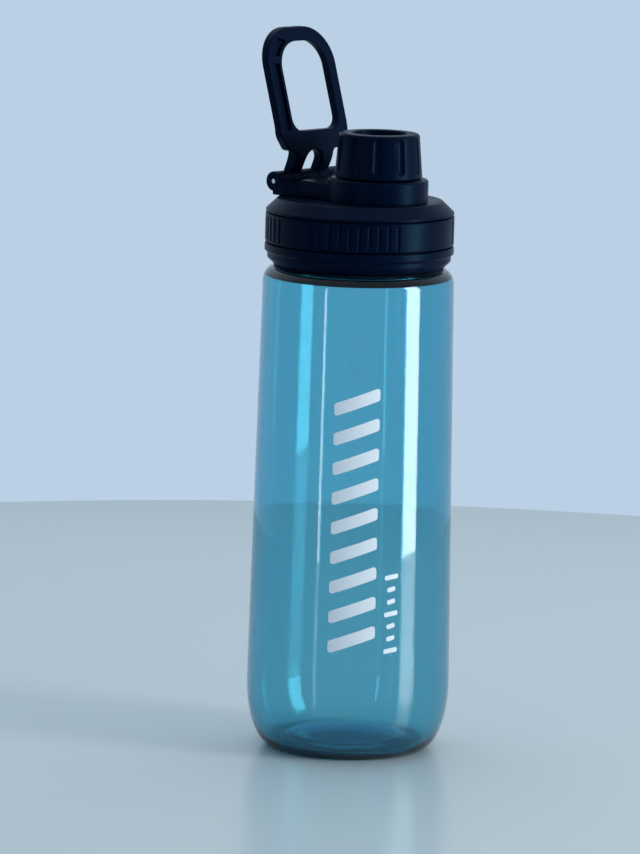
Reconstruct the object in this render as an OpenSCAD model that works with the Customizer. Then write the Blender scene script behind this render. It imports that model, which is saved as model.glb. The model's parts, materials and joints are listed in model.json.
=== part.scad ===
// Drinking bottle with a screw lid, a screw cap on an offset spout and a folding carry loop.
// The origin is on the bottle's axis, on the plane that it stands on. +Z is up, the spout is
// on the -Y side, and the loop's hinge lies along X on the +Y side.

/* [Bottle] */
// Largest outside diameter, low on the body
body_d = 73; // [60:0.5:90]
// Height of the bottle's rim, just under the lid
body_h = 174.4; // [140:0.2:215]
// How much smaller the radius is at the rim
body_taper = 2.3; // [0:0.1:4]
// Thickness of the side wall
wall = 1.8; // [1.2:0.1:3]
// Thickness of the floor
floor_t = 2.6; // [2:0.1:4]
// Height of the rounded heel
heel_h = 24; // [16:0.5:32]
// How far the heel rounds in
heel_in = 9.5; // [6:0.5:12]
// Width of the flat ring that the bottle stands on
foot_w = 3.4; // [2.4:0.2:5]
// Height of the hollow under the floor
dome_h = 4.5; // [2.5:0.5:7]

/* [Rim and neck] */
// Width of the rounded lip around the gasket
lip_w = 3.9; // [3.4:0.1:4.4]
// Radius of the rounding from the side onto the lip
lip_round = 5.8; // [5:0.1:7]
// Depth of the ledge below the lip
lip_h = 2.2; // [1.8:0.1:2.6]
// Width of the ledge between the lip and the neck
ledge_w = 3.5; // [3.2:0.1:5]
// Thickness of the neck
neck_wall = 2; // [1.6:0.1:3]
// Rise of the lid in one turn
lid_lead = 5; // [4:0.1:6]
// Height of the lid's thread ridges
lid_ridge = 1.4; // [1:0.1:1.8]

/* [Lid] */
// How far the lid's lower edge dips inside the bottle's lip
lid_dip = 0.2; // [0:0.1:0.3]
// Height of the collar below the grip band
skirt_h = 8.1; // [7:0.1:10]
// Height of the grip band
band_h = 10.3; // [8:0.1:13]
// Thickness of the grip band with its seat
band_t = 2.2; // [1.8:0.1:2.6]
// Height of the crown above the grip band
crown_h = 4.8; // [4:0.1:6]
// Width of the slope around the crown
crown_slope = 4.3; // [3:0.1:5.5]
// Ribs in each of the four groups on the grip band
rib_count = 9; // [5:1:10]

/* [Spout and cap] */
// Outside diameter of the spout
spout_d = 22.8; // [18:0.2:28]
// Height of the spout above the crown
spout_h = 17.9; // [16:0.1:22]
// Thickness of the spout
spout_wall = 1.9; // [1.5:0.1:2.6]
// Rise of the cap in one turn
cap_lead = 4; // [3.4:0.1:4.4]
// Height of the cap's thread ridges
cap_ridge = 1; // [0.8:0.1:1.3]
// Thickness of the cap at its lower edge
cap_wall = 2.8; // [2.6:0.1:3.6]
// Finger flutes around the cap
flute_count = 11; // [8:1:12]

/* [Carry loop] */
// Outside width of the loop
loop_w = 35.4; // [30:0.2:42]
// Thickness of the loop from front to back
loop_t = 3.2; // [2.8:0.1:4.4]
// Height of the loop's hole
hole_h = 31.2; // [26:0.2:38]
// Width of the broad bar
broad_bar = 7.2; // [6.4:0.1:9]
// Width of the slim bar
slim_bar = 4.4; // [3:0.1:5]
// Height of the bar across the top
top_bar = 5; // [4:0.1:6]
// Backward lean of the loop in degrees
loop_lean = 17; // [8:1:18]
// Radius of the hinge's knuckles
knuckle_r = 3.5; // [3:0.1:4]
// Height of the knuckles above the crown
hinge_lift = 1.3; // [0.5:0.1:2]
// Diameter of the hinge pin
pin_d = 2; // [1.6:0.1:2.4]

/* [Fits] */
// Radial room between the threads and what they run in
thread_gap = 0.4; // [0.3:0.05:0.5]
// Room between a moving piece and its neighbour
move_gap = 0.4; // [0.3:0.05:0.6]
// Room between a seal and the edge it closes on
seal_gap = 0.2; // [0.15:0.05:0.3]
// Room between pieces that are assembled for good
seat_gap = 0.1; // [0.05:0.05:0.15]
// Radial running clearance of the hinge pin
pin_gap = 0.06; // [0.02:0.01:0.1]
// Height of the parting grooves between the lid's pieces
seam = 0.5; // [0.3:0.1:0.7]

/* [Hidden] */
$fn = 96;
clear_blue = [0.36, 0.66, 0.78, 0.6];
lid_black = [0.08, 0.09, 0.1];
seal_black = [0.03, 0.03, 0.03];
over = 1;

// bottle
body_r = body_d / 2;
top_r = body_r - body_taper;
foot_r = body_r - heel_in;
foot_in = foot_r - foot_w;
dome_step = 1.6;
dome_edge = 2.2;
dome_r = foot_in - dome_edge;
ledge_z = body_h - lip_h;
lip_r = top_r - lip_w;
lip_start = body_h - lip_round;
lip_angle = acos((lip_round - lip_w) / lip_round);
neck_r = lip_r - ledge_w;
neck_in = neck_r - neck_wall;
shoulder_t = 2;
arc_steps = 18;

// lid, from its lower edge up
collar_z = body_h - lid_dip;
collar_r = top_r - 0.4;
collar_bore = neck_r + lid_ridge + thread_gap;
skirt_top = collar_z + skirt_h;
band_z = skirt_top + seam;
band_top = band_z + band_h;
crown_z = band_top + seam;
crown_top = crown_z + crown_h;
crown_r = collar_r - 0.2;
flat_r = crown_r - crown_slope;
seat_r = collar_r - band_t;
spigot_h = 1.4;
spigot_z = crown_z - spigot_h;
crown_plate = 3;
seal_t = 1.8;
seal_z = spigot_z - seal_gap - seal_t;
seal_in = neck_in - 0.8;
neck_top = seal_z - seal_gap;
lid_turns = 1.5;
lid_thread_w = 1.8;
lid_thread_z = collar_z + 3;

// spout and cap
spout_r = spout_d / 2;
spout_bore = spout_r - spout_wall;
spout_top = crown_top + spout_h;
root_r = spout_r + 1.1;
cap_bore = spout_r + cap_ridge + thread_gap;
cap_r = cap_bore + cap_wall;
cap_slope = 1.2;
cap_top_r = cap_r - cap_slope;
ring_r = cap_r + 2.3;
ring_h = 8.1;
ring_top = crown_top + ring_h;
root_top = ring_top - 0.2;
cap_z = ring_top + move_gap;
liner_z = spout_top + seal_gap;
liner_t = 1.3;
ceiling_z = liner_z + liner_t + seal_gap;
cap_top = ceiling_z + 4.7;
cap_edge = 1.2;
dish_r = 9.8;
dish_depth = 2.2;
spout_y = -(flat_r - ring_r - 3.15);
cap_turns = 1.5;
cap_thread_w = 1.4;
cap_steps = 30;
cap_thread_z = cap_z + 1.7;
flute_r = 1.9;
flute_out = 0.3;
flute_start = 24;
flute_bottom = cap_z + 4;

// hinge and loop
hinge_y = flat_r - 2.3;
hinge_z = crown_top + knuckle_r + hinge_lift;
pin_r = pin_d / 2;
hinge_w = 34;
leg_w = 5.6;
leg_x = 7.1;
leg_slot_r = leg_x - leg_w / 2;
slot_side = 0.3;
slot_front = hinge_y - knuckle_r - 0.7;
base_bar = 7;
hole_z = hinge_z + 17.8;
base_z = hole_z - base_bar;
loop_top = hole_z + hole_h + top_bar;
loop_half = loop_w / 2;
strip_half = loop_t / 2 / cos(loop_lean);
leg_half = 2.1;
// the loop's middle line seen from the side, as [y, z, half its thickness along Y]
loop_path = [
    [hinge_y + 1, hinge_z + 0.5, leg_half],
    [hinge_y - 2.6, hinge_z + 8.6, leg_half + 0.2],
    [hinge_y - 2.7, hole_z, strip_half],
    [hinge_y - 2.7 + (loop_top + over - hole_z) * tan(loop_lean), loop_top + over, strip_half]];
hole_left = -loop_half + broad_bar;
hole_right = loop_half - slim_bar;
corner_out = 13.5;
corner_in = 9.6;
corner_low = 7;
corner_hole = 4.6;
groove_edge = 1.7;
groove_depth = 1.2;
bridge_z = hole_z + 24;
bridge_h = 2.4;

// points on a quarter ellipse about c, from angle a0 to a1
function arc(c, rx, rz, a0, a1, n = arc_steps) =
    [for (i = [0:n]) let (a = a0 + (a1 - a0) * i / n) [c.x + rx * cos(a), c.y + rz * sin(a)]];

// height of the hollow under the floor at radius r
function dome_z(r) = dome_step + (dome_h - dome_step) * (1 - (r / dome_r) ^ 2);

// a thread ridge that winds up around Z and sinks into its wall at both ends
// root: radius of the wall, rise: height of the ridge, positive outwards
module thread_ridge(root, rise, z, lead, turns, width, steps_per_turn = 36) {
    n = round(turns * steps_per_turn);
    fade = 4;
    sink = 0.6 * sign(rise);
    crest_w = width * 0.45;
    points = [for (i = [0:n])
        let (a = 360 * turns * i / n)
        let (f = min(1, i / fade, (n - i) / fade))
        let (crest = root - sink / 2 + (rise + sink / 2) * f)
        let (zc = z + lead * turns * i / n)
        for (p = [[root - sink, -width / 2], [crest, -crest_w / 2],
                  [crest, crest_w / 2], [root - sink, width / 2]])
            [p.x * cos(a), p.x * sin(a), zc + p.y]];
    sides = [for (i = [0:n - 1], k = [0:3])
        [4 * i + k, 4 * i + (k + 1) % 4, 4 * i + 4 + (k + 1) % 4, 4 * i + 4 + k]];
    ends = [[3, 2, 1, 0], [for (k = [0:3]) 4 * n + k]];
    faces = concat(sides, ends);
    polyhedron(points, rise > 0 ? faces : [for (f = faces) [for (k = [3:-1:0]) f[k]]]);
}

// a rectangle in XY with round corners, the lower pair and the upper pair with their own radius
module round_rect(x0, x1, y0, y1, r_low, r_high) {
    translate([x0, y0 + r_low]) square([x1 - x0, y1 - y0 - r_low - r_high]);
    translate([x0 + r_low, y0]) square([x1 - x0 - 2 * r_low, r_low + over / 2]);
    translate([x0 + r_high, y1 - r_high - over / 2]) square([x1 - x0 - 2 * r_high, r_high + over / 2]);
    for (x = [x0 + r_low, x1 - r_low]) translate([x, y0 + r_low]) circle(r_low);
    for (x = [x0 + r_high, x1 - r_high]) translate([x, y1 - r_high]) circle(r_high);
}

// a cylinder along X, centred at x on the hinge's axis
module on_hinge(x, length, r) {
    translate([x - length / 2, hinge_y, hinge_z]) rotate([0, 90, 0]) cylinder(h = length, r = r);
}

module bottle_shell() {
    inner_r = body_r - wall;
    under_z = ledge_z - shoulder_t;
    inner_round = lip_round - wall;
    under_angle = asin((under_z - lip_start) / inner_round);
    dome_radii = [for (i = [0:6]) dome_r * i / 6];
    outside = concat(
        [for (r = dome_radii) [r, dome_z(r)]],
        [[foot_in, 0]],
        arc([foot_r, heel_h], heel_in, heel_h, -90, 0),
        arc([top_r - lip_round, lip_start], lip_round, lip_round, 0, lip_angle, 10),
        [[lip_r, ledge_z], [neck_r, ledge_z], [neck_r, neck_top]]);
    inside = concat(
        [[neck_in, neck_top], [neck_in, under_z]],
        arc([top_r - lip_round, lip_start], inner_round, inner_round, under_angle, 0, 6),
        arc([foot_r, heel_h], heel_in - wall, heel_h - floor_t, 0, -90),
        [[foot_in, floor_t]],
        [for (i = [6:-1:0]) [dome_radii[i], dome_z(dome_radii[i]) + floor_t]]);
    color(clear_blue) {
        rotate_extrude() polygon(concat(outside, inside));
        thread_ridge(neck_r, lid_ridge, lid_thread_z, lid_lead, lid_turns, lid_thread_w);
    }
}

module shoulder_gasket() {
    low = neck_r + 0.3;
    high = lip_r - 0.2;
    soft = 0.6;
    top = collar_z - seal_gap;
    color(seal_black) rotate_extrude()
        polygon([[low, ledge_z], [high, ledge_z], [high, top - soft], [high - soft, top], [low, top]]);
}

module thread_collar() {
    bevel = 2.9;
    step_in = 1;
    edge = 0.5;
    outline = [
        [collar_bore, collar_z], [collar_r - step_in - bevel, collar_z],
        [collar_r - step_in, collar_z + bevel], [collar_r - step_in, collar_z + 4.5],
        [collar_r - 0.3, collar_z + 5.2], [collar_r, skirt_top - edge], [collar_r - edge, skirt_top],
        [seat_r, skirt_top], [seat_r, crown_z], [collar_bore, crown_z]];
    color(lid_black) {
        rotate_extrude() polygon(outline);
        thread_ridge(collar_bore, -lid_ridge, lid_thread_z + lid_lead / 2, lid_lead, lid_turns - 0.25,
                     lid_thread_w);
    }
}

module grip_band() {
    low = seat_r + seat_gap;
    high = collar_r - seat_gap;
    edge = 0.4;
    cut_r = 0.8;
    cut_depth = 0.5;
    pitch = 6;
    group_angles = [-141, -33, 48, 138];
    color(lid_black) difference() {
        rotate_extrude()
            polygon([[low, band_z], [high - edge, band_z], [high, band_z + edge],
                     [high, band_top - edge], [high - edge, band_top], [low, band_top]]);
        for (g = group_angles, i = [0:rib_count])
            rotate(g + pitch * (i - rib_count / 2))
                translate([high + cut_r - cut_depth, 0, band_z + 0.9])
                    cylinder(h = band_h - 1.8, r = cut_r);
    }
}

module lid_crown() {
    spigot_r = collar_bore - seat_gap;
    rim = 0.7;
    plate = [
        [0, crown_top - crown_plate], [seal_in - 0.4, crown_top - crown_plate], [seal_in - 0.4, spigot_z],
        [spigot_r, spigot_z], [spigot_r, crown_z], [crown_r, crown_z], [crown_r, crown_z + rim],
        [flat_r, crown_top], [0, crown_top]];
    color(lid_black) difference() {
        union() {
            rotate_extrude() polygon(plate);
            translate([0, spout_y, crown_top - over]) cylinder(h = spout_h + over, r = spout_r);
            translate([0, spout_y, crown_top - over]) cylinder(h = root_top - crown_top + over, r = root_r);
            translate([0, spout_y, 0])
                thread_ridge(spout_r, cap_ridge, cap_thread_z, cap_lead, cap_turns, cap_thread_w, cap_steps);
        }
        translate([0, spout_y, spigot_z]) cylinder(h = spout_top - spigot_z + over, r = spout_bore);
    }
}

module mouth_seal() {
    outer = collar_bore - 0.3;
    color(seal_black) rotate_extrude()
        translate([seal_in, seal_z]) square([outer - seal_in, seal_t]);
}

module handle_bracket() {
    groove = 0.3;
    tongue_top = crown_top + 6;
    half = hinge_w / 2;
    bore_r = root_r + 0.2;
    soft = 0.8;
    slot_w = leg_w + 2 * slot_side;
    color(lid_black) difference() {
        union() {
            translate([0, spout_y, 0]) rotate_extrude()
                polygon([[0, crown_top], [ring_r - groove, crown_top],
                         [ring_r - groove, crown_top + groove], [ring_r, crown_top + groove],
                         [ring_r, ring_top - soft], [ring_r - soft, ring_top], [0, ring_top]]);
            translate([0, 0, crown_top]) linear_extrude(tongue_top - crown_top)
                polygon([[-half, hinge_y], [-half, slot_front - 2], [-half + 2.4, slot_front - 8],
                         [-half + 1.6, spout_y + 6], [half - 1.6, spout_y + 6],
                         [half - 2.4, slot_front - 8], [half, slot_front - 2], [half, hinge_y]]);
            on_hinge(0, hinge_w, knuckle_r);
        }
        // room for the two legs, open to the back and to the top
        for (x = [-leg_x, leg_x])
            translate([x - slot_w / 2, slot_front, crown_top - over])
                cube([slot_w, 2 * knuckle_r + 10, ring_h + 2 * over]);
        // the outer knuckles hang clear of the crown's slope
        translate([-half - over, hinge_y, crown_top - over])
            cube([hinge_w + 2 * over, knuckle_r + over, over + move_gap]);
        on_hinge(0, hinge_w + 2 * over, pin_r);
        translate([0, spout_y, crown_top - over]) cylinder(h = ring_h + 2 * over, r = bore_r);
    }
}

module hinge_pin() {
    color("silver") on_hinge(0, hinge_w - 0.4, pin_r);
}

// the loop's outline seen from the front, in X and Z
module loop_front() {
    fillet = 2.6;
    leg_out = leg_x + leg_w / 2;
    leg_low = hinge_z - knuckle_r - over;
    difference() {
        round_rect(-loop_half, loop_half, base_z, loop_top, corner_low, corner_out);
        round_rect(hole_left, hole_right, hole_z, hole_z + hole_h, corner_hole, corner_in);
    }
    // the two legs, with a round-topped slot between them
    difference() {
        translate([-leg_out, leg_low]) square([2 * leg_out, base_z - leg_low + over]);
        translate([-leg_slot_r, leg_low - over])
            square([2 * leg_slot_r, base_z - leg_slot_r - leg_low + over]);
        translate([0, base_z - leg_slot_r]) circle(leg_slot_r);
    }
    // a hollow corner where each leg meets the base bar
    for (s = [-1, 1]) difference() {
        translate([s * (leg_out + fillet / 2) - fillet / 2, base_z - fillet])
            square([fillet, fillet + over]);
        translate([s * (leg_out + fillet), base_z - fillet]) circle(fillet);
    }
}

// the loop's outline seen from the side, in Y and Z, moved back by shift
module loop_side(shift = 0) {
    last = len(loop_path) - 1;
    translate([shift, 0]) polygon(concat(
        [for (p = loop_path) [p[0] - p[2], p[1]]],
        [for (i = [last:-1:0]) [loop_path[i][0] + loop_path[i][2], loop_path[i][1]]]));
}

// gives a front outline its thickness, limited by a side outline
module between_outlines() {
    intersection() {
        rotate([90, 0, 0]) linear_extrude(200, center = true) children(0);
        rotate([90, 0, 90]) linear_extrude(loop_w + 2, center = true) children(1);
    }
}

// the hollow in the broad bar's front face, which runs on around the top corner
module loop_groove() {
    difference() {
        round_rect(-loop_half + groove_edge, loop_half - groove_edge, base_z + groove_edge,
                   loop_top - groove_edge, corner_low - groove_edge, corner_out - groove_edge);
        round_rect(hole_left - groove_edge, hole_right + groove_edge, hole_z - groove_edge,
                   hole_z + hole_h + groove_edge, corner_hole + groove_edge, corner_in + groove_edge);
        translate([hole_left - groove_edge, base_z - over]) square([loop_w, loop_top]);
        translate([-loop_half, base_z - over]) square([loop_w, base_bar + over]);
        translate([-loop_half, bridge_z]) square([loop_w, bridge_h]);
    }
}

module carry_loop() {
    color(lid_black) difference() {
        union() {
            between_outlines() {
                loop_front();
                loop_side();
            }
            for (x = [-leg_x, leg_x]) on_hinge(x, leg_w, knuckle_r);
        }
        for (x = [-leg_x, leg_x]) on_hinge(x, leg_w + 2 * over, pin_r + pin_gap);
        between_outlines() {
            loop_groove();
            loop_side(groove_depth - 2 * strip_half);
        }
    }
}

module spout_cap() {
    outside = [
        [0, cap_z], [cap_r - 0.5, cap_z], [cap_r, cap_z + 0.5],
        [cap_top_r, cap_top - cap_edge], [cap_top_r - cap_edge, cap_top], [dish_r, cap_top],
        [dish_r - 0.3, cap_top - dish_depth], [0, cap_top - dish_depth]];
    color(lid_black) translate([0, spout_y, 0]) {
        difference() {
            rotate_extrude() polygon(outside);
            translate([0, 0, cap_z - over]) cylinder(h = ceiling_z - cap_z + over, r = cap_bore);
            for (i = [0:flute_count - 1])
                rotate(flute_start + 360 / flute_count * i) translate([cap_r + flute_out, 0, flute_bottom]) {
                    cylinder(h = cap_top, r = flute_r);
                    sphere(flute_r);
                }
        }
        thread_ridge(cap_bore, -cap_ridge, cap_thread_z + cap_lead / 2, cap_lead, cap_turns - 0.5,
                     cap_thread_w, cap_steps);
    }
}

module cap_liner() {
    color("whitesmoke") translate([0, spout_y, liner_z]) cylinder(h = liner_t, r = spout_r + 0.5);
}

bottle_shell();
shoulder_gasket();
thread_collar();
grip_band();
lid_crown();
mouth_seal();
handle_bracket();
hinge_pin();
carry_loop();
spout_cap();
cap_liner();
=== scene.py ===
import json
import math

import bmesh
import bpy
from mathutils import Matrix, Vector


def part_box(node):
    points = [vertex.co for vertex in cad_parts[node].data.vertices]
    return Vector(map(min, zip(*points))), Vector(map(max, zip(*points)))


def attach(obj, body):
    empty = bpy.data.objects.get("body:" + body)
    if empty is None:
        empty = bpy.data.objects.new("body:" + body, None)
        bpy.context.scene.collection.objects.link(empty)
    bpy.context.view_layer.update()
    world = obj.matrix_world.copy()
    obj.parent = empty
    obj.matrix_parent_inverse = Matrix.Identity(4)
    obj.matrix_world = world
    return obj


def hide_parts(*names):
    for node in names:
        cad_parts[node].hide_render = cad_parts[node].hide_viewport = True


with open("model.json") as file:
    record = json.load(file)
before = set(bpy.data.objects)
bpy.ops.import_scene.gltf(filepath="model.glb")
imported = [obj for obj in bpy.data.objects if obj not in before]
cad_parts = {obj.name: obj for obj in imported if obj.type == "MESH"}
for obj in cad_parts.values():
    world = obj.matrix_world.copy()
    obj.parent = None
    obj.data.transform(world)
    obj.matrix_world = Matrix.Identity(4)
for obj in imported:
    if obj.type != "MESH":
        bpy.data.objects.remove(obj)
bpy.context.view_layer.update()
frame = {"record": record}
record = frame["record"]

fullTurn = 2 * math.pi
mmToMetre = 0.001


def boxInMm(node):
    low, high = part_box(node)
    return [1000 * v for v in low], [1000 * v for v in high]


def jointInMm(name):
    joint = next(j for j in record["behaviour"]["joints"] if j["name"] == name)
    return [1000 * v for v in joint["pos_m"]]


# places that several pieces share, in mm
shellHigh = boxInMm("bottle_shell")[1]
gasketLow, gasketHigh = boxInMm("shoulder_gasket")
collarLow, collarHigh = boxInMm("thread_collar")
bandLow, bandHigh = boxInMm("grip_band")
crownLow, crownHigh = boxInMm("lid_crown")
sealLow, sealHigh = boxInMm("mouth_seal")
bracketLow = boxInMm("handle_bracket")[0]
pinLow, pinHigh = boxInMm("hinge_pin")
loopLow, loopHigh = boxInMm("carry_loop")
capLow, capHigh = boxInMm("spout_cap")
linerLow, linerHigh = boxInMm("cap_liner")

crownTop = bracketLow[2]
spoutY = (capLow[1] + capHigh[1]) / 2
hingeY, hingeZ = jointInMm("handle_fold")[1:]


def lerp(a, b, t):
    return a + (b - a) * t


def clamp(value, low=0.0, high=1.0):
    return max(low, min(high, value))


def arcPoints(centre, radiusX, radiusY, startDeg, endDeg, steps):
    points = []
    for i in range(steps + 1):
        angle = math.radians(lerp(startDeg, endDeg, i / steps))
        points.append((centre[0] + radiusX * math.cos(angle), centre[1] + radiusY * math.sin(angle)))
    return points


def rounded(corners, steps=5):
    # each corner is (x, y) or (x, y, radius); the corners with a radius become arcs
    points = []
    count = len(corners)
    for i, corner in enumerate(corners):
        here = Vector(corner[:2])
        radius = corner[2] if len(corner) > 2 else 0
        if radius <= 0:
            points.append(tuple(here))
            continue
        toLast = (Vector(corners[i - 1][:2]) - here).normalized()
        toNext = (Vector(corners[(i + 1) % count][:2]) - here).normalized()
        half = math.acos(clamp(toLast.dot(toNext), -1, 1)) / 2
        back = radius / math.tan(half)
        centre = here + (toLast + toNext).normalized() * radius / math.sin(half)
        first = here + toLast * back - centre
        sweep = math.pi - 2 * half
        if toLast.cross(toNext) > 0:
            sweep = -sweep
        for k in range(steps + 1):
            turned = Matrix.Rotation(sweep * k / steps, 2) @ first
            points.append(tuple(centre + turned))
    return points


def line(start, end, step):
    # points along a straight stretch, without its last point
    count = max(1, math.ceil(math.dist(start, end) / step))
    return [(lerp(start[0], end[0], i / count), lerp(start[1], end[1], i / count)) for i in range(count)]


def meshObject(name, verts, faces):
    mesh = bpy.data.meshes.new(name)
    mesh.from_pydata(verts, [], faces)
    bm = bmesh.new()
    bm.from_mesh(mesh)
    bmesh.ops.remove_doubles(bm, verts=bm.verts, dist=1e-4)
    bmesh.ops.recalc_face_normals(bm, faces=bm.faces)
    bm.to_mesh(mesh)
    bm.free()
    piece = bpy.data.objects.new(name, mesh)
    bpy.context.collection.objects.link(piece)
    return piece


def lathe(name, outline, columns=144, push=None, centre=(0, 0)):
    # turns a closed outline of (radius, height) about a vertical axis
    # push(angle, radius, height) gives what is added to the radius there
    angles = columns if isinstance(columns, list) else [fullTurn * k / columns for k in range(columns)]
    verts = []
    rings = []
    for radius, height in outline:
        ring = []
        for angle in angles:
            if radius < 1e-6 and ring:
                ring.append(ring[0])
                continue
            r = radius + (push(angle, radius, height) if push and radius > 1e-6 else 0)
            ring.append(len(verts))
            verts.append((centre[0] + r * math.cos(angle), centre[1] + r * math.sin(angle), height))
        rings.append(ring)
    faces = []
    count = len(angles)
    for i, ring in enumerate(rings):
        above = rings[(i + 1) % len(rings)]
        for k in range(count):
            corners = [ring[k], ring[(k + 1) % count], above[(k + 1) % count], above[k]]
            corners = list(dict.fromkeys(corners))
            if len(corners) > 2:
                faces.append(corners)
    return meshObject(name, verts, faces)


def flatSolid(name, outlines, depth, edge=0.0, edgeSteps=4):
    # a plate in XY with its middle at z 0; holes are wound the other way round
    curve = bpy.data.curves.new(name, "CURVE")
    curve.dimensions = "2D"
    curve.fill_mode = "BOTH"
    curve.extrude = depth / 2 - edge
    curve.bevel_depth = edge
    curve.bevel_resolution = edgeSteps
    curve.offset = -edge
    for points in outlines:
        spline = curve.splines.new("POLY")
        spline.points.add(len(points) - 1)
        for knot, point in zip(spline.points, points):
            knot.co = (point[0], point[1], 0, 1)
        spline.use_cyclic_u = True
    holder = bpy.data.objects.new(name + "Curve", curve)
    bpy.context.collection.objects.link(holder)
    solid = holder.evaluated_get(bpy.context.evaluated_depsgraph_get())
    mesh = bpy.data.meshes.new_from_object(solid)
    verts = [tuple(v.co) for v in mesh.vertices]
    faces = [tuple(p.vertices) for p in mesh.polygons]
    bpy.data.objects.remove(holder)
    return meshObject(name, verts, faces)


def reshape(piece, move, cuts=()):
    # cuts the piece on planes across an axis, given as (axis, distance), then moves each point
    bm = bmesh.new()
    bm.from_mesh(piece.data)
    for axis, distance in cuts:
        normal = [0, 0, 0]
        normal[axis] = 1
        point = [0, 0, 0]
        point[axis] = distance
        everything = bm.verts[:] + bm.edges[:] + bm.faces[:]
        bmesh.ops.bisect_plane(bm, geom=everything, dist=1e-5, plane_co=point, plane_no=normal)
    for vert in bm.verts:
        vert.co = move(vert.co)
    bmesh.ops.triangulate(bm, faces=[f for f in bm.faces if len(f.verts) > 4])
    bmesh.ops.recalc_face_normals(bm, faces=bm.faces)
    bm.to_mesh(piece.data)
    bm.free()
    return piece


def combine(piece, tool, how):
    # how is UNION or DIFFERENCE; the tool is used up
    modifier = piece.modifiers.new(how, "BOOLEAN")
    modifier.object = tool
    modifier.operation = how
    modifier.solver = "EXACT"
    bpy.context.view_layer.objects.active = piece
    bpy.ops.object.modifier_apply(modifier=modifier.name)
    bpy.data.objects.remove(tool)
    return piece


def roundedBox(name, low, high, corner, edge):
    (x0, y0, z0), (x1, y1, z1) = low, high
    outline = rounded([(x0, y0, corner), (x1, y0, corner), (x1, y1, corner), (x0, y1, corner)])
    plate = flatSolid(name, [outline], z1 - z0, edge)
    return reshape(plate, lambda p: Vector((p.x, p.y, p.z + (z0 + z1) / 2)))


def rodAlongX(name, x0, x1, radius, edge, columns=72):
    outline = rounded([(0, x0), (radius, x0, edge), (radius, x1, edge), (0, x1)])
    rod = lathe(name, outline, columns)
    return reshape(rod, lambda p: Vector((p.z, p.x + hingeY, p.y + hingeZ)))


def threadAt(angle, height, thread):
    # height of a helical ridge above its wall
    turn = (height - thread["start"]) / thread["lead"] - angle / fullTurn
    nearest = round(turn)
    along = nearest + angle / fullTurn
    ends = clamp(min(along, thread["turns"] - along) / thread["fade"])
    away = abs(turn - nearest) * thread["lead"]
    flank = clamp((thread["foot"] - away) / (thread["foot"] - thread["crest"]))
    return thread["rise"] * ends * flank


def scoopAt(distance, halfWidth, depth):
    # how deep a hollow of circular section is, at a distance from its middle line
    if distance >= halfWidth:
        return 0
    radius = (halfWidth ** 2 + depth ** 2) / (2 * depth)
    return math.sqrt(radius ** 2 - distance ** 2) - (radius - depth)


def makeFinish(name, look):
    material = bpy.data.materials.new(name)
    material.use_nodes = True
    nodes = material.node_tree.nodes
    links = material.node_tree.links
    shader = nodes["Principled BSDF"]
    shader.inputs["Base Color"].default_value = (*look["color"], 1)
    for socket, value in look.get("sockets", {}).items():
        shader.inputs[socket].default_value = value
    coordinates = nodes.new("ShaderNodeTexCoord")

    # handling marks: the roughness drifts over some centimetres
    cloud = nodes.new("ShaderNodeTexNoise")
    cloud.inputs["Scale"].default_value = look["cloudScale"]
    cloud.inputs["Detail"].default_value = 3
    spread = nodes.new("ShaderNodeMapRange")
    spread.inputs["From Min"].default_value = 0.3
    spread.inputs["From Max"].default_value = 0.7
    spread.inputs["To Min"].default_value = look["roughness"][0]
    spread.inputs["To Max"].default_value = look["roughness"][1]
    links.new(coordinates.outputs["Object"], cloud.inputs["Vector"])
    links.new(cloud.outputs["Fac"], spread.inputs["Value"])
    links.new(spread.outputs["Result"], shader.inputs["Roughness"])

    # the mould's grain
    grain = nodes.new("ShaderNodeTexNoise")
    grain.inputs["Scale"].default_value = look["grainScale"]
    grain.inputs["Detail"].default_value = 2
    bump = nodes.new("ShaderNodeBump")
    bump.inputs["Strength"].default_value = look["grainStrength"]
    bump.inputs["Distance"].default_value = look["grainHeight"]
    links.new(coordinates.outputs["Object"], grain.inputs["Vector"])
    links.new(grain.outputs["Fac"], bump.inputs["Height"])
    links.new(bump.outputs["Normal"], shader.inputs["Normal"])
    if "absorb" in look:
        volume = nodes.new("ShaderNodeVolumeAbsorption")
        volume.inputs["Color"].default_value = (*look["absorb"], 1)
        volume.inputs["Density"].default_value = look["density"]
        links.new(volume.outputs["Volume"], nodes["Material Output"].inputs["Volume"])
    return material


# the tint is in the volume, so thick places are deeper in colour
clearPlastic = makeFinish("tintedClearPlastic", {
    "color": (1.0, 1.0, 1.0),
    "roughness": (0.01, 0.05),
    "cloudScale": 30,
    "grainScale": 28,
    "grainStrength": 0.25,
    "grainHeight": 0.0006,
    "sockets": {"Transmission Weight": 1.0, "IOR": 1.5},
    "absorb": (0.0, 0.677, 0.79),
    "density": 585,
})


def darkPlastic(name, roughness, cloudScale, grainScale, grainStrength):
    # near-black navy with a weak, cool sheen
    return makeFinish(name, {
        "color": (0.0009, 0.003, 0.014),
        "roughness": roughness,
        "cloudScale": cloudScale,
        "grainScale": grainScale,
        "grainStrength": grainStrength,
        "grainHeight": 0.00004,
        "sockets": {"IOR": 1.5, "Specular IOR Level": 0.06, "Specular Tint": (0.12, 0.6, 1.0, 1)},
    })


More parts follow.
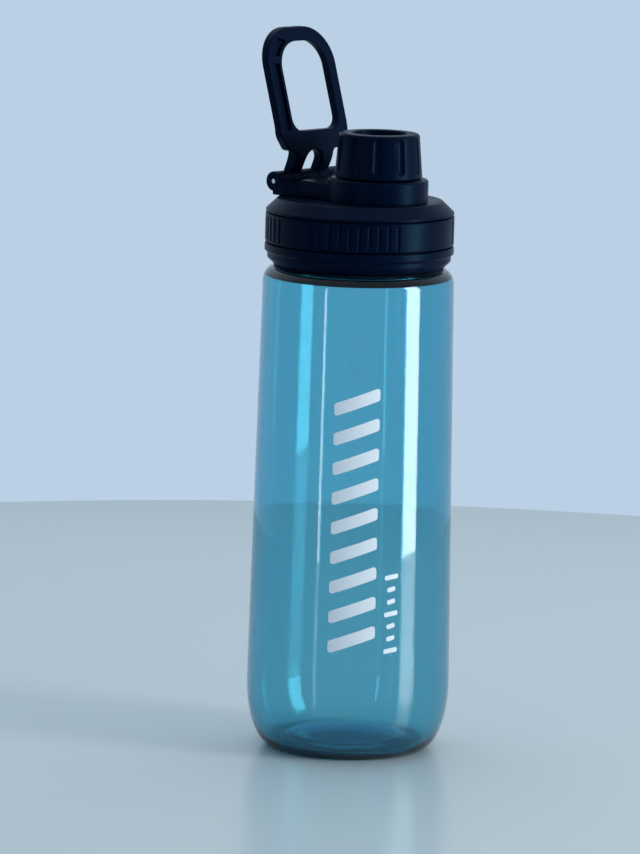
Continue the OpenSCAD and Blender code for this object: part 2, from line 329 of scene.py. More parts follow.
lidPlastic = darkPlastic("satinBlackPlastic", (0.30, 0.42), 45, 5200, 0.25)
loopPlastic = darkPlastic("loopPlastic", (0.32, 0.44), 40, 4300, 0.3)
capPlastic = darkPlastic("capPlastic", (0.32, 0.45), 55, 5200, 0.3)
sealRubber = makeFinish("sealRubber", {
    "color": (0.003, 0.005, 0.010),
    "roughness": (0.6, 0.75),
    "cloudScale": 80,
    "grainScale": 3000,
    "grainStrength": 0.35,
    "grainHeight": 0.00005,
})
linerFoam = makeFinish("linerFoam", {
    "color": (0.78, 0.78, 0.74),
    "roughness": (0.75, 0.9),
    "cloudScale": 90,
    "grainScale": 2200,
    "grainStrength": 0.5,
    "grainHeight": 0.0001,
})
pinSteel = makeFinish("pinSteel", {
    "color": (0.72, 0.73, 0.75),
    "roughness": (0.2, 0.34),
    "cloudScale": 500,
    "grainScale": 6000,
    "grainStrength": 0.2,
    "grainHeight": 0.00002,
    "sockets": {"Metallic": 1.0},
})
printInk = makeFinish("printInk", {
    "color": (0.75, 0.84, 0.90),
    "roughness": (0.38, 0.5),
    "cloudScale": 60,
    "grainScale": 4000,
    "grainStrength": 0.3,
    "grainHeight": 0.00003,
})


def finishMesh(piece, material, sharpDeg):
    # from mm to metres, smooth but for the sharp edges, and in its material
    piece.data.transform(Matrix.Scale(mmToMetre, 4))
    piece.data.polygons.foreach_set("use_smooth", [True] * len(piece.data.polygons))
    piece.data.set_sharp_from_angle(angle=math.radians(sharpDeg))
    piece.data.materials.clear()
    piece.data.materials.append(material)


def place(piece, body, material, nodes=(), sharpDeg=38):
    # the last step of every piece; nodes names the CAD pieces that it stands in for
    finishMesh(piece, material, sharpDeg)
    weighted = piece.modifiers.new("shading", "WEIGHTED_NORMAL")
    weighted.keep_sharp = True
    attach(piece, body)
    if nodes:
        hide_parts(*nodes)
    print("made", piece.name, len(piece.data.polygons), "faces")
    return piece


bottle = {
    "wall": 1.8,
    "floor": 2.6,
    "heelHeight": 24,
    "heelIn": 9.5,
    "footWidth": 3.4,
    "domeStep": 1.6,
    "domeEdge": 2.2,
    "domeHeight": 4.5,
    "taper": 2.3,
    "lipWidth": 3.9,
    "lipRound": 5.8,
    "lipHeight": 2.2,
    "ledgeWidth": 3.5,
    "neckWall": 2,
    "shoulder": 2,
    "lipEdge": 0.4,
    "mouthEdge": 0.6,
    "gasketRoom": 0.3,
    "thread": {"start": collarLow[2] + 3, "lead": 5, "turns": 1.5, "rise": 1.4,
               "foot": 0.95, "crest": 0.42, "fade": 0.11},
}
bodyR = shellHigh[0]
topR = bodyR - bottle["taper"]
footR = bodyR - bottle["heelIn"]
footIn = footR - bottle["footWidth"]
ledgeZ = gasketLow[2]
rimZ = ledgeZ + bottle["lipHeight"]
neckTop = shellHigh[2]
lipR = topR - bottle["lipWidth"]
neckR = lipR - bottle["ledgeWidth"]
neckIn = neckR - bottle["neckWall"]
sideTop = rimZ - bottle["lipRound"]


def bodyRadiusAt(height):
    return lerp(bodyR, topR, clamp((height - bottle["heelHeight"]) / (sideTop - bottle["heelHeight"])))


def domePoints(lift):
    domeR = footIn - bottle["domeEdge"]
    step = bottle["domeStep"]
    rise = bottle["domeHeight"] - step
    radii = [domeR * i / 14 for i in range(15)]
    return [(r, lift + step + rise * (1 - (r / domeR) ** 2)) for r in radii]  # highest in the middle


def makeBottle():
    innerR = bodyR - bottle["wall"]
    innerTop = topR - bottle["wall"]
    heel = (footR, bottle["heelHeight"])
    heelInside = (bottle["heelIn"] - bottle["wall"], bottle["heelHeight"] - bottle["floor"])
    lipCentre = (topR - bottle["lipRound"], sideTop)
    lipEdge = bottle["lipEdge"]
    lipDeg = math.degrees(math.acos((lipR + lipEdge - lipCentre[0]) / bottle["lipRound"]))
    lipEnd = sideTop + bottle["lipRound"] * math.sin(math.radians(lipDeg))
    mouthEdge = bottle["mouthEdge"]
    mouthZ = neckTop - mouthEdge
    shoulderZ = ledgeZ - bottle["shoulder"]
    innerRound = bottle["lipRound"] - bottle["wall"]
    underDeg = math.degrees(math.asin((shoulderZ - sideTop) / innerRound))

    # up the outside, from the middle of the hollow floor to the mouth
    outside = domePoints(0)
    outside += rounded([(footIn - 1.6, 1.2), (footIn - 0.2, 0, 0.6), (footIn + 0.5, 0)])[1:-1]
    outside += arcPoints(heel, bottle["heelIn"], bottle["heelHeight"], -90, 0, 40)
    outside += line((bodyR, bottle["heelHeight"]), (topR, sideTop), 12)[1:]
    outside += arcPoints(lipCentre, bottle["lipRound"], bottle["lipRound"], 0, lipDeg, 18)
    outside += arcPoints((lipR + lipEdge, lipEnd - lipEdge), lipEdge, lipEdge, 90, 180, 4)[1:]
    outside += rounded([(lipR, ledgeZ + 1, 0), (lipR, ledgeZ, 0.3),
                        (neckR, ledgeZ, 0.5), (neckR, ledgeZ + 1, 0)])[1:-1]
    outside += line((neckR, ledgeZ + 1), (neckR, mouthZ), 0.3)
    outside += arcPoints((neckR - mouthEdge, mouthZ), mouthEdge, mouthEdge, 0, 90, 4)

    # and back down the inside
    inside = arcPoints((neckIn + mouthEdge, mouthZ), mouthEdge, mouthEdge, 90, 180, 4)
    inside += rounded([(neckIn, neckTop - 2), (neckIn, shoulderZ, 1.2), (neckIn + 3, shoulderZ)], 6)[1:-1]
    inside += arcPoints(lipCentre, innerRound, innerRound, underDeg, 0, 12)
    inside += line((innerTop, sideTop), (innerR, bottle["heelHeight"]), 12)[1:]
    inside += arcPoints(heel, *heelInside, 0, -90, 40)
    inside += [(footIn, bottle["floor"])]
    inside += domePoints(bottle["floor"])[::-1]

    def neckThread(angle, radius, height):
        onNeck = abs(radius - neckR) < 0.01 and height > ledgeZ + 0.9
        return threadAt(angle, height, bottle["thread"]) if onNeck else 0

    piece = lathe("bottleBody", outside + inside, 180, neckThread)
    return place(piece, "bottle", clearPlastic, ["bottle_shell"])


def makeGasket():
    low = neckR + bottle["gasketRoom"]
    high, top = gasketHigh[0], gasketHigh[2]
    outline = rounded([(low, ledgeZ), (high, ledgeZ, 0.2), (high, top, 0.6), (low, top, 0.3)])
    piece = lathe("shoulderGasket", outline, 144)
    return place(piece, "bottle", sealRubber, ["shoulder_gasket"])


makeBottle()
makeGasket()


lid = {
    "collarStep": 1,
    "collarBevel": 2.9,
    "stepLow": 4.6,
    "stepHigh": 5.5,
    "threadGap": 0.4,
    "bandThickness": 2.2,
    "crownSlope": 4.3,
    "plate": 3,
    "seam": 0.5,
    "seat": 0.1,
    "sealWidth": 4.3,
    "thread": {"start": collarLow[2] + 5.5, "lead": 5, "turns": 1.25, "rise": 1.4,
               "foot": 0.95, "crest": 0.42, "fade": 0.11},
    "ribGroups": (-141, -33, 48, 138),
    "ribsEach": 10,
    "ribPitch": 6,
    "ribHalfWidth": 0.75,
    "ribDepth": 0.5,
    "ribEnd": 0.6,
}
collarZ = collarLow[2]
collarR = collarHigh[0]
collarBore = neckR + bottle["thread"]["rise"] + lid["threadGap"]
skirtTop = bandLow[2] - lid["seam"]
crownZ = collarHigh[2]
crownR = crownHigh[0]
flatR = crownR - lid["crownSlope"]
seatR = collarR - lid["bandThickness"]
sealIn = sealHigh[0] - lid["sealWidth"]


def makeCollar():
    # a bevelled foot, a step out to the full width, and a seat for the sleeve
    stepR = collarR - lid["collarStep"]
    bevel = lid["collarBevel"]
    outline = rounded([
        (stepR - bevel, collarZ, 0.4), (stepR, collarZ + bevel, 0.5), (stepR, collarZ + lid["stepLow"], 0.3),
        (collarR, collarZ + lid["stepHigh"], 0.5), (collarR, skirtTop, 0.55), (seatR, skirtTop),
        (seatR, crownZ, 0.2), (collarBore, crownZ, 0.2)])
    outline += line((collarBore, crownZ - 1), (collarBore, collarZ + 0.8), 0.3)
    outline += rounded([(collarBore, collarZ + 1.2), (collarBore, collarZ, 0.6),
                        (collarBore + 2, collarZ)])[1:-1]

    def innerThread(angle, radius, height):
        return -threadAt(angle, height, lid["thread"]) if abs(radius - collarBore) < 0.01 else 0

    piece = lathe("lidCollar", outline, 180, innerThread)
    return place(piece, "lid", lidPlastic, ["thread_collar"])


def ribAngles():
    # fine columns across the ribs and coarse ones between the groups
    angles = []
    half = lid["ribPitch"] * lid["ribsEach"] / 2
    degree = -180.0
    while degree < 180:
        near = min(abs((degree - g + 180) % 360 - 180) for g in lid["ribGroups"])
        angles.append(math.radians(degree))
        degree += 0.25 if near < half + 0.5 else 1.5
    return angles


def ribAt(angle, height):
    low = bandLow[2] + lid["ribEnd"] + lid["ribHalfWidth"]
    high = bandHigh[2] - lid["ribEnd"] - lid["ribHalfWidth"]
    past = max(0, low - height, height - high)
    total = 0
    for group in lid["ribGroups"]:
        for i in range(lid["ribsEach"]):
            centre = group + lid["ribPitch"] * (i - (lid["ribsEach"] - 1) / 2)
            across = math.radians((math.degrees(angle) - centre + 180) % 360 - 180) * bandHigh[0]
            if abs(across) < lid["ribHalfWidth"]:
                total += scoopAt(math.hypot(across, past), lid["ribHalfWidth"], lid["ribDepth"])
    return -total


def makeSleeve():
    low, high = seatR + lid["seat"], bandHigh[0]
    z0, z1 = bandLow[2], bandHigh[2]
    # close rings where the ribs end, and few between them
    outline = rounded([(low, z1), (low, z0), (high, z0, 0.4)])
    outline += line((high, z0 + 0.5), (high, z0 + 1.7), 0.15)
    outline += line((high, z0 + 1.7), (high, z1 - 1.7), 2)
    outline += line((high, z1 - 1.7), (high, z1 - 0.5), 0.15)
    outline += rounded([(high, z1 - 0.6), (high, z1, 0.4), (low, z1)])[1:-1]

    def ribs(angle, radius, height):
        return ribAt(angle, height) if abs(radius - high) < 0.01 else 0

    piece = lathe("gripSleeve", outline, ribAngles(), ribs)
    return place(piece, "lid", lidPlastic, ["grip_band"])


spout = {
    "radius": 11.4,
    "wall": 1.9,
    "root": 1.1,
    "rootRoom": 0.2,
    "ringHeight": 8.1,
    "ringBeyondCap": 2.3,
    "edge": 0.7,
    "thread": {"start": capLow[2] + 1.7, "lead": 4, "turns": 1.5, "rise": 1.0,
               "foot": 0.75, "crest": 0.3, "fade": 0.13},
}
spoutR = spout["radius"]
rootR = spoutR + spout["root"]
ringTop = crownTop + spout["ringHeight"]
spoutTop = crownHigh[2]


def spoutDrill(name, radius, z0, z1):
    return lathe(name, [(0, z0), (radius, z0), (radius, z1), (0, z1)], 132, None, (0, spoutY))


def makeCrown():
    spigotR = collarBore - lid["seat"]
    spigotZ = crownLow[2]
    under = crownTop - lid["plate"]
    plate = lathe("lidCrown", rounded([
        (0, under), (sealIn, under, 0.8), (sealIn, spigotZ), (spigotR, spigotZ, 0.3), (spigotR, crownZ),
        (crownR, crownZ, 0.25), (crownR, crownZ + 0.75, 0.35), (flatR, crownTop, 0.9), (0, crownTop)]), 180)
    bore = spoutR - spout["wall"]
    edge = spout["edge"]
    rootTop = ringTop - spout["rootRoom"]
    tubeOutline = [(bore, crownTop - 2), (rootR, crownTop - 2)]
    tubeOutline += rounded([(rootR, crownTop - 1), (rootR, rootTop, 0.3),
                            (spoutR, rootTop, 0.3), (spoutR, ringTop + 1)])[1:-1]
    tubeOutline += line((spoutR, ringTop + 0.4), (spoutR, spoutTop - edge), 0.28)
    tubeOutline += arcPoints((spoutR - edge, spoutTop - edge), edge, edge, 0, 90, 5)
    tubeOutline += arcPoints((bore + edge, spoutTop - edge), edge, edge, 90, 180, 5)

    def spoutThread(angle, radius, height):
        return threadAt(angle, height, spout["thread"]) if abs(radius - spoutR) < 0.01 else 0

    tube = lathe("spoutTube", tubeOutline, 132, spoutThread, (0, spoutY))
    drill = spoutDrill("spoutBore", bore, under - 5, crownTop + 1)
    combine(plate, drill, "DIFFERENCE")
    combine(plate, tube, "UNION")
    return place(plate, "lid", lidPlastic, ["lid_crown"])


def makeMouthSeal():
    high = sealHigh[0]
    z0, z1 = sealLow[2], sealHigh[2]
    outline = rounded([(sealIn, z0, 0.3), (high, z0, 0.3), (high, z1, 0.3), (sealIn, z1, 0.3)])
    piece = lathe("mouthSeal", outline, 144)
    return place(piece, "seal", sealRubber, ["mouth_seal"])


makeCollar()
makeSleeve()
makeCrown()
makeMouthSeal()


hinge = {
    "knuckleR": 3.5,
    "width": 34,
    "legX": 7.1,
    "legWidth": 5.6,
    "legRoom": 0.3,
    "frontRoom": 0.7,
    "tongueHeight": 6,
    "tongueWaist": 14.4,
    "scoopR": 5.5,
    "scoopForward": 2.2,
    "scoopDepth": 1.8,
    "groove": 0.35,
    "pinBoreR": 1.0,
    "eyeBoreR": 1.06,
}
knuckleR = hinge["knuckleR"]
slotFront = hingeY - knuckleR - hinge["frontRoom"]
capR = (capHigh[0] - capLow[0]) / 2
ringR = capR + spout["ringBeyondCap"]


def makeBracket():
    half = hinge["width"] / 2
    waist = hinge["tongueWaist"]
    tongueTop = crownTop + hinge["tongueHeight"]
    boreR = rootR + spout["rootRoom"]
    groove = hinge["groove"]
    ringOutline = [(0, crownTop), (ringR - groove, crownTop), (ringR - groove, crownTop + groove)]
    ringOutline += rounded([(ringR - groove, crownTop + groove), (ringR, crownTop + 0.4, 0.15),
                            (ringR, ringTop, 1.0), (0, ringTop)])[1:]
    piece = lathe("hingeBracket", ringOutline, 180, None, (0, spoutY))
    tongueOutline = rounded([
        (half, hingeY), (-half, hingeY), (-half, slotFront - 1, 1.6), (-waist, slotFront - 6, 5),
        (-waist - 0.6, spoutY + 5), (waist + 0.6, spoutY + 5),
        (waist, slotFront - 6, 5), (half, slotFront - 1, 1.6)])
    tongue = flatSolid("tongue", [tongueOutline], hinge["tongueHeight"], 0.45)
    tongue = reshape(tongue, lambda p: Vector((p.x, p.y, p.z + (crownTop + tongueTop) / 2)))
    # a shallow trough across the tongue, in front of the loop's legs
    scoopR = hinge["scoopR"]
    scoopY = slotFront - hinge["scoopForward"]
    scoopZ = tongueTop + scoopR - hinge["scoopDepth"]
    scoop = lathe("scoop", [(0, -half - 3), (scoopR, -half - 3), (scoopR, half + 3), (0, half + 3)], 96)
    scoop = reshape(scoop, lambda p: Vector((p.z, p.x + scoopY, p.y + scoopZ)))
    combine(tongue, scoop, "DIFFERENCE")
    knuckles = rodAlongX("knuckles", -half, half, knuckleR, 0.5)
    combine(piece, tongue, "UNION")
    combine(piece, knuckles, "UNION")
    room = hinge["legWidth"] / 2 + hinge["legRoom"]
    for x in (-hinge["legX"], hinge["legX"]):
        gapLow = (x - room, slotFront, crownTop - 2)
        gapHigh = (x + room, hingeY + 12, ringTop + 6)
        gap = roundedBox("legGap", gapLow, gapHigh, 0.5, 0.1)
        combine(piece, gap, "DIFFERENCE")
    # the knuckles hang clear of the crown's slope
    relief = roundedBox("relief", (-half - 2, hingeY, crownTop - 3), (half + 2, hingeY + 8, crownTop + 0.4),
                        0.1, 0)
    combine(piece, relief, "DIFFERENCE")
    combine(piece, rodAlongX("pinHole", -half - 2, half + 2, hinge["pinBoreR"], 0.01), "DIFFERENCE")
    combine(piece, spoutDrill("ringHole", boreR, crownTop - 3, ringTop + 3), "DIFFERENCE")
    return place(piece, "lid", lidPlastic, ["handle_bracket"], 32)


def makePin():
    piece = rodAlongX("hingePin", pinLow[0], pinHigh[0], (pinHigh[2] - pinLow[2]) / 2, 0.3, 48)
    return place(piece, "lid", pinSteel, ["hinge_pin"])


makeBracket()
makePin()


loop = {
    "thickness": 3.2,
    "lean": 17,
    "edge": 0.6,
    "broadBar": 7.2,
    "slimBar": 4.4,
    "holeHeight": 31.2,
    "topBar": 5,
    "baseBar": 7,
    "cornerOut": 13.5,
    "cornerIn": 9.6,
    "cornerLow": 5,
    "cornerFoot": 3,
    "cornerWide": 4.4,
    "cornerTall": 5.4,
    "cornerHole": 4.6,
    "legHalf": 2.1,
    "fillet": 1.4,
    "easing": 2.6,
    "grooveEdge": 1.9,
    "grooveInner": 1.5,
    "grooveDepth": 1.2,
    "bridgeUp": 24,
    "bridgeHeight": 2.4,
    "channelEndDeg": 118,
    "bendForward": 2.7,
}
loopHalf = (loopHigh[0] - loopLow[0]) / 2
loopTop = loopHigh[2]
holeTop = loopTop - loop["topBar"]
holeZ = holeTop - loop["holeHeight"]
baseZ = holeZ - loop["baseBar"]
holeLeft = -loopHalf + loop["broadBar"]
holeRight = loopHalf - loop["slimBar"]
stripHalf = loop["thickness"] / 2 / math.cos(math.radians(loop["lean"]))
bendY = hingeY - loop["bendForward"]
# the loop's middle line seen from the side, as (height, place along Y, half of its thickness)
loopPath = [
    (hingeZ - 6, hingeY + 3.9, loop["legHalf"]),
    (hingeZ + 0.5, hingeY + 1, loop["legHalf"]),
    (hingeZ + 8.6, hingeY - 2.6, loop["legHalf"] + 0.2),
    (holeZ, bendY, stripHalf),
    (loopTop + 10, bendY + (loopTop + 10 - holeZ) * math.tan(math.radians(loop["lean"])), stripHalf),
]


def alongPath(height):
    # place along Y and half thickness at a height
    for (z0, y0, t0), (z1, y1, t1) in zip(loopPath, loopPath[1:]):
        if height <= z1 or (z1, y1, t1) == loopPath[-1]:
            f = (height - z0) / (z1 - z0)
            return lerp(y0, y1, f), lerp(t0, t1, f)


def easedPath(height):
    # the path averaged over a short stretch, so that it bends without corners
    samples = [alongPath(height + loop["easing"] * k / 4) for k in range(-4, 5)]
    return sum(s[0] for s in samples) / len(samples), sum(s[1] for s in samples) / len(samples)


def leanBack(forward=0.0):
    # a point of the flat plate goes onto the leaning, bent strip
    def move(p):
        middle, half = easedPath(p.y)
        return Vector((p.x, middle - p.z * half / (loop["thickness"] / 2) - forward, p.y))
    return move


def loopOutlines():
    legOut = hinge["legX"] + hinge["legWidth"] / 2
    legIn = hinge["legX"] - hinge["legWidth"] / 2
    legLow = hingeZ - 0.6
    # from a leg up around its lower corner, which is a slope with both ends rounded
    side = [(legIn, legLow), (legOut, legLow), (legOut, baseZ, loop["fillet"]),
            (loopHalf - loop["cornerWide"], baseZ, loop["cornerFoot"]),
            (loopHalf, baseZ + loop["cornerTall"], loop["cornerLow"]),
            (loopHalf, loopTop, loop["cornerOut"])]
    outer = rounded(side + [(-corner[0], *corner[1:]) for corner in side[::-1]], 16)
    slotTop = arcPoints((0, baseZ - legIn), legIn, legIn, 180, 0, 20)
    hole = rounded([
        (holeLeft, holeZ, loop["cornerHole"]), (holeLeft, holeTop, loop["cornerIn"]),
        (holeRight, holeTop, loop["cornerIn"]), (holeRight, holeZ, loop["cornerHole"])], 16)
    return [outer + slotTop, hole]


def grooveOutlines():
    outer, inner = loop["grooveEdge"], loop["grooveInner"]
    outX = -loopHalf + outer
    inX = holeLeft - inner
    low = holeZ + 0.6
    bridge = holeZ + loop["bridgeUp"]
    above = bridge + loop["bridgeHeight"]
    cornerOut = loop["cornerOut"] - outer
    cornerIn = loop["cornerIn"] + inner
    lower = rounded([(outX, low, 0.6), (inX, low, 0.6), (inX, bridge, 0.5), (outX, bridge, 0.5)])
    # above the bridge the channel follows the corner, and ends where the top bar begins
    outCentre = (outX + cornerOut, loopTop - outer - cornerOut)
    inCentre = (inX + cornerIn, holeTop + inner - cornerIn)
    outStart = 180 - math.degrees(math.asin((above - outCentre[1]) / cornerOut))
    inStart = 180 - math.degrees(math.asin((above - inCentre[1]) / cornerIn))
    endDeg = loop["channelEndDeg"]
    outArc = arcPoints(outCentre, cornerOut, cornerOut, outStart, endDeg, 12)
    inArc = arcPoints(inCentre, cornerIn, cornerIn, endDeg, inStart, 12)
    return lower, (outArc + inArc)[::-1]


def makeLoop():
    # close cuts where the strip bends, and a few along its straight part
    cuts = [(1, hingeZ - 3 + 0.8 * i) for i in range(36)] + [(1, holeZ + 4 * i) for i in range(9)]
    plate = flatSolid("carryLoop", loopOutlines(), loop["thickness"], loop["edge"])
    piece = reshape(plate, leanBack(), cuts)
    half = hinge["legWidth"] / 2
    for x in (-hinge["legX"], hinge["legX"]):
        combine(piece, rodAlongX("eye", x - half, x + half, knuckleR, 0.35), "UNION")
        bore = rodAlongX("eyeBore", x - half - 1, x + half + 1, hinge["eyeBoreR"], 0.01)
        combine(piece, bore, "DIFFERENCE")
    for outline in grooveOutlines():
        tool = flatSolid("channel", [outline], 2 * loop["grooveDepth"])
        tool = reshape(tool, leanBack(stripHalf), cuts)
        combine(piece, tool, "DIFFERENCE")
    return place(piece, "handle", loopPlastic, ["carry_loop"], 32)


makeLoop()


cap = {
    "slope": 1.2,
    "edge": 1.2,
    "dishR": 9.8,
    "dishDepth": 2.2,
    "threadGap": 0.4,
    "flutes": 11,
    "fluteStart": 24,
    "fluteHalfWidth": 1.75,
    "fluteDepth": 0.95,
    "fluteUp": 3.6,
    "fluteDown": 2.6,
    "ceilingRoom": 0.2,
    "thread": {"start": capLow[2] + 3.7, "lead": 4, "turns": 1.0, "rise": 1.0,
               "foot": 0.75, "crest": 0.3, "fade": 0.13},
}


def fluteAngles():
    # fine columns across each flute and coarser ones between them
    pitch = fullTurn / cap["flutes"]
    edge = cap["fluteHalfWidth"] / (capR - cap["slope"] / 2) / pitch
    shares = [lerp(0, edge, i / 8) for i in range(8)] + [lerp(edge, 1 - edge, i / 12) for i in range(12)]
    shares += [lerp(1 - edge, 1, i / 8) for i in range(8)]
    start = math.radians(cap["fluteStart"])
    return [start + pitch * (k + share) for k in range(cap["flutes"]) for share in shares]


def makeCap():
    z0, z1 = capLow[2], capHigh[2]
    upperR = capR - cap["slope"]
    boreR = spoutR + spout["thread"]["rise"] + cap["threadGap"]
    ceiling = linerHigh[2] + cap["ceilingRoom"]
    edge = cap["edge"]
    dishR, dishZ = cap["dishR"], z1 - cap["dishDepth"]
    # up the outside, across the dish, and down the bore
    outline = rounded([(capR - 2, z0), (capR, z0, 0.5), (lerp(capR, upperR, 0.2), lerp(z0, z1, 0.2))])[1:-1]
    outline += line((capR - 0.02, z0 + 0.6), (upperR, z1 - edge), 0.5)
    outline += arcPoints((upperR - edge, z1 - edge), edge, edge, 0, 90, 8)
    outline += rounded([(upperR - edge, z1), (dishR, z1, 0.5), (dishR - 0.5, dishZ, 0.7), (0, dishZ)])[1:]
    outline += [(0, ceiling)]
    outline += rounded([(0, ceiling), (boreR, ceiling, 0.5), (boreR, ceiling - 2)])[1:-1]
    outline += line((boreR, ceiling - 0.8), (boreR, z0 + 0.8), 0.28)
    outline += rounded([(boreR, z0 + 1), (boreR, z0, 0.4), (boreR + 1, z0)])[1:-1]
    pitch = fullTurn / cap["flutes"]
    start = math.radians(cap["fluteStart"])

    def shape(angle, radius, height):
        if abs(radius - boreR) < 0.01:
            return -threadAt(angle % fullTurn, height, cap["thread"])
        if radius < upperR - edge - 0.01 or height < z0 + 0.5:
            return 0
        across = radius * ((angle - start + pitch / 2) % pitch - pitch / 2)
        past = max(0, z0 + cap["fluteUp"] - height, height - z1 + cap["fluteDown"])
        return -scoopAt(math.hypot(across, past), cap["fluteHalfWidth"], cap["fluteDepth"])

    piece = lathe("spoutCap", outline, fluteAngles(), shape, (0, spoutY))
    return place(piece, "cap", capPlastic, ["spout_cap"], 30)


def makeLiner():
    radius = linerHigh[0]
    z0, z1 = linerLow[2], linerHigh[2]
    outline = rounded([(0, z0), (radius, z0, 0.25), (radius, z1, 0.25), (0, z1)])
    piece = lathe("capLiner", outline, 96, None, (0, spoutY))
    return place(piece, "liner", linerFoam, ["cap_liner"])


makeCap()
makeLiner()


marks = {
    "thickness": 0.08,
    "lift": 0.01,
    "bars": {"facing": -136.6, "count": 9, "width": 17.0, "shortShare": 1.0, "height": 4.6, "pitch": 10.6,
             "lowest": 40, "slant": 6, "corner": 1.0},
    "ticks": {"facing": -114, "count": 7, "width": 5.2, "shortShare": 0.6, "height": 1.7, "pitch": 4.4,
              "lowest": 40, "slant": 0.8, "corner": 0.5},
}


def slantedBar(width, height, lowest, slant, corner):
    half = width / 2
    return rounded([(-half, lowest, corner), (half, lowest + slant, corner),
                    (half, lowest + slant + height, corner), (-half, lowest + height, corner)], 5)


def wrapOn(facingDeg):
    # a flat point (across, up, out) goes onto the bottle's side
    def move(p):
        radius = bodyRadiusAt(p.y) + p.z + marks["lift"]
        angle = math.radians(facingDeg) + p.x / bodyR
        return Vector((radius * math.cos(angle), radius * math.sin(angle), p.y))
    return move


def makePrint(name, mark):
    # every third mark is long, the others may be shorter
    cuts = [(0, -10 + 0.8 * i) for i in range(26)]
    outlines = []
    for i in range(mark["count"]):
        width = mark["width"] * (1 if i % 3 == 0 else mark["shortShare"])
        lowest = mark["lowest"] + mark["pitch"] * i
        outlines.append(slantedBar(width, mark["height"], lowest, mark["slant"], mark["corner"]))
    piece = reshape(flatSolid(name, outlines, marks["thickness"]), wrapOn(mark["facing"]), cuts)
    return place(piece, "bottle", printInk)


makePrint("printBars", marks["bars"])
makePrint("printTicks", marks["ticks"])


studio = {
    "floorRadius": 530,
    "floorThickness": 14,
    "floorColor": (0.55, 0.60, 0.59),
    "floorRoughness": 0.22,
    "wallDeg": 42,
    "wallColor": (0.497, 0.631, 0.783),
    "roomColor": (0.30, 0.39, 0.49),
}
# each lamp stands at an angle and a distance around the bottle, in metres, and faces its axis at aim
lamps = {
    "windowLight": {"angle": -68, "distance": 1.3, "height": 0.30, "aim": 0.30, "size": (0.42, 1.1),
                    "power": 18, "color": (1.0, 0.98, 0.95)},
    "narrowLight": {"angle": -176, "distance": 1.3, "height": 0.15, "aim": 0.15, "size": (0.06, 0.8),
                    "power": 1.0, "color": (1.0, 1.0, 1.0)},
    "topLight": {"angle": 40, "distance": 0.5, "height": 1.5, "aim": 0.11, "size": (1.2, 1.2),
                 "power": 6, "color": (0.96, 0.98, 1.0)},
}
view = {
    "azimuth": -48,
    "distance": 1.95,
    "height": 0.416,
    "aimHeight": 0.12,
    "pan": 0.3615,
    "tilt": 0.1146,
    "roll": 1.53,
    "lens": 231.9,
}


def makeFloor():
    edge, low = studio["floorRadius"], -studio["floorThickness"]
    floor = lathe("studioFloor", rounded([(0, low), (edge, low, 3), (edge, 0, 3), (0, 0)]), 240)
    finish = makeFinish("paleFloor", {
        "color": studio["floorColor"],
        "roughness": (studio["floorRoughness"], studio["floorRoughness"] + 0.05),
        "cloudScale": 4,
        "grainScale": 900,
        "grainStrength": 0.05,
        "grainHeight": 0.00005,
    })
    finishMesh(floor, finish, 30)


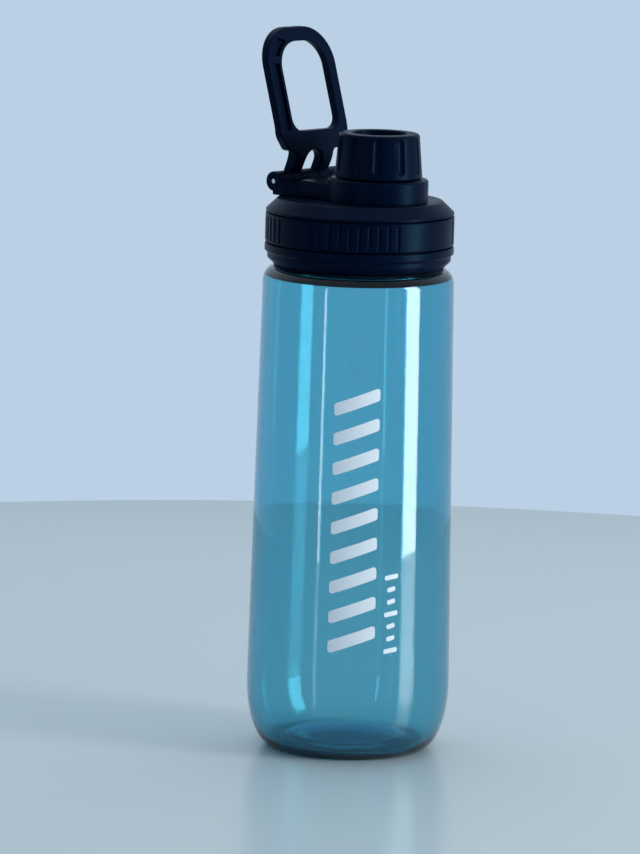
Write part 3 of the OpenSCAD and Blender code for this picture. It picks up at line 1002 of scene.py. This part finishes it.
def makeWorld():
    # pale towards the wall behind the bottle, and dimmer towards the room in front of it
    world = bpy.data.worlds.new("studioRoom")
    world.use_nodes = True
    nodes = world.node_tree.nodes
    links = world.node_tree.links
    background = nodes["Background"]
    coordinates = nodes.new("ShaderNodeTexCoord")
    towards = nodes.new("ShaderNodeVectorMath")
    towards.operation = "DOT_PRODUCT"
    wall = math.radians(studio["wallDeg"])
    towards.inputs[1].default_value = (math.cos(wall), math.sin(wall), 0)
    spread = nodes.new("ShaderNodeMapRange")
    spread.interpolation_type = "SMOOTHSTEP"
    spread.inputs["From Min"].default_value = -0.6
    spread.inputs["From Max"].default_value = 0.75
    mix = nodes.new("ShaderNodeMix")
    mix.data_type = "RGBA"
    mix.inputs["A"].default_value = (*studio["roomColor"], 1)
    mix.inputs["B"].default_value = (*studio["wallColor"], 1)
    links.new(coordinates.outputs["Generated"], towards.inputs[0])
    links.new(towards.outputs["Value"], spread.inputs["Value"])
    links.new(spread.outputs["Result"], mix.inputs["Factor"])
    links.new(mix.outputs["Result"], background.inputs["Color"])
    bpy.context.scene.world = world


def makeLamp(name, lamp):
    data = bpy.data.lights.new(name, "AREA")
    data.shape = "RECTANGLE"
    data.size, data.size_y = lamp["size"]
    data.energy = lamp["power"]
    data.color = lamp["color"]
    holder = bpy.data.objects.new(name, data)
    angle = math.radians(lamp["angle"])
    distance = lamp["distance"]
    spot = Vector((distance * math.cos(angle), distance * math.sin(angle), lamp["height"]))
    aim = Vector((0, 0, lamp["aim"])) - spot
    holder.matrix_world = Matrix.Translation(spot) @ aim.to_track_quat("-Z", "Y").to_matrix().to_4x4()
    holder.visible_camera = False
    bpy.context.collection.objects.link(holder)


def makeCamera():
    # it looks a little down on the bottle, then turns by pan and tilt and leans by roll
    azimuth = math.radians(view["azimuth"])
    distance = view["distance"]
    spot = Vector((math.sin(azimuth) * distance, -math.cos(azimuth) * distance, view["height"]))
    ahead = (Vector((0, 0, view["aimHeight"])) - spot).normalized()
    right = ahead.cross(Vector((0, 0, 1))).normalized()
    up = right.cross(ahead)
    roll = math.radians(view["roll"])
    right, up = right * math.cos(roll) + up * math.sin(roll), up * math.cos(roll) - right * math.sin(roll)
    aside = right * math.tan(math.radians(view["pan"])) + up * math.tan(math.radians(view["tilt"]))
    ahead = (ahead - aside).normalized()
    right = (right - ahead * right.dot(ahead)).normalized()
    up = right.cross(ahead)
    data = bpy.data.cameras.new("mainCamera")
    data.lens = view["lens"]
    data.sensor_width = 36
    data.clip_start = 0.01
    camera = bpy.data.objects.new("mainCamera", data)
    turn = Matrix((right, up, -ahead)).transposed()
    camera.matrix_world = Matrix.Translation(spot) @ turn.to_4x4()
    bpy.context.collection.objects.link(camera)
    bpy.context.scene.camera = camera


makeFloor()
makeWorld()
for lampName, lamp in lamps.items():
    makeLamp(lampName, lamp)
makeCamera()
bpy.context.scene.view_settings.view_transform = "Standard"
print("stage, light and camera set")
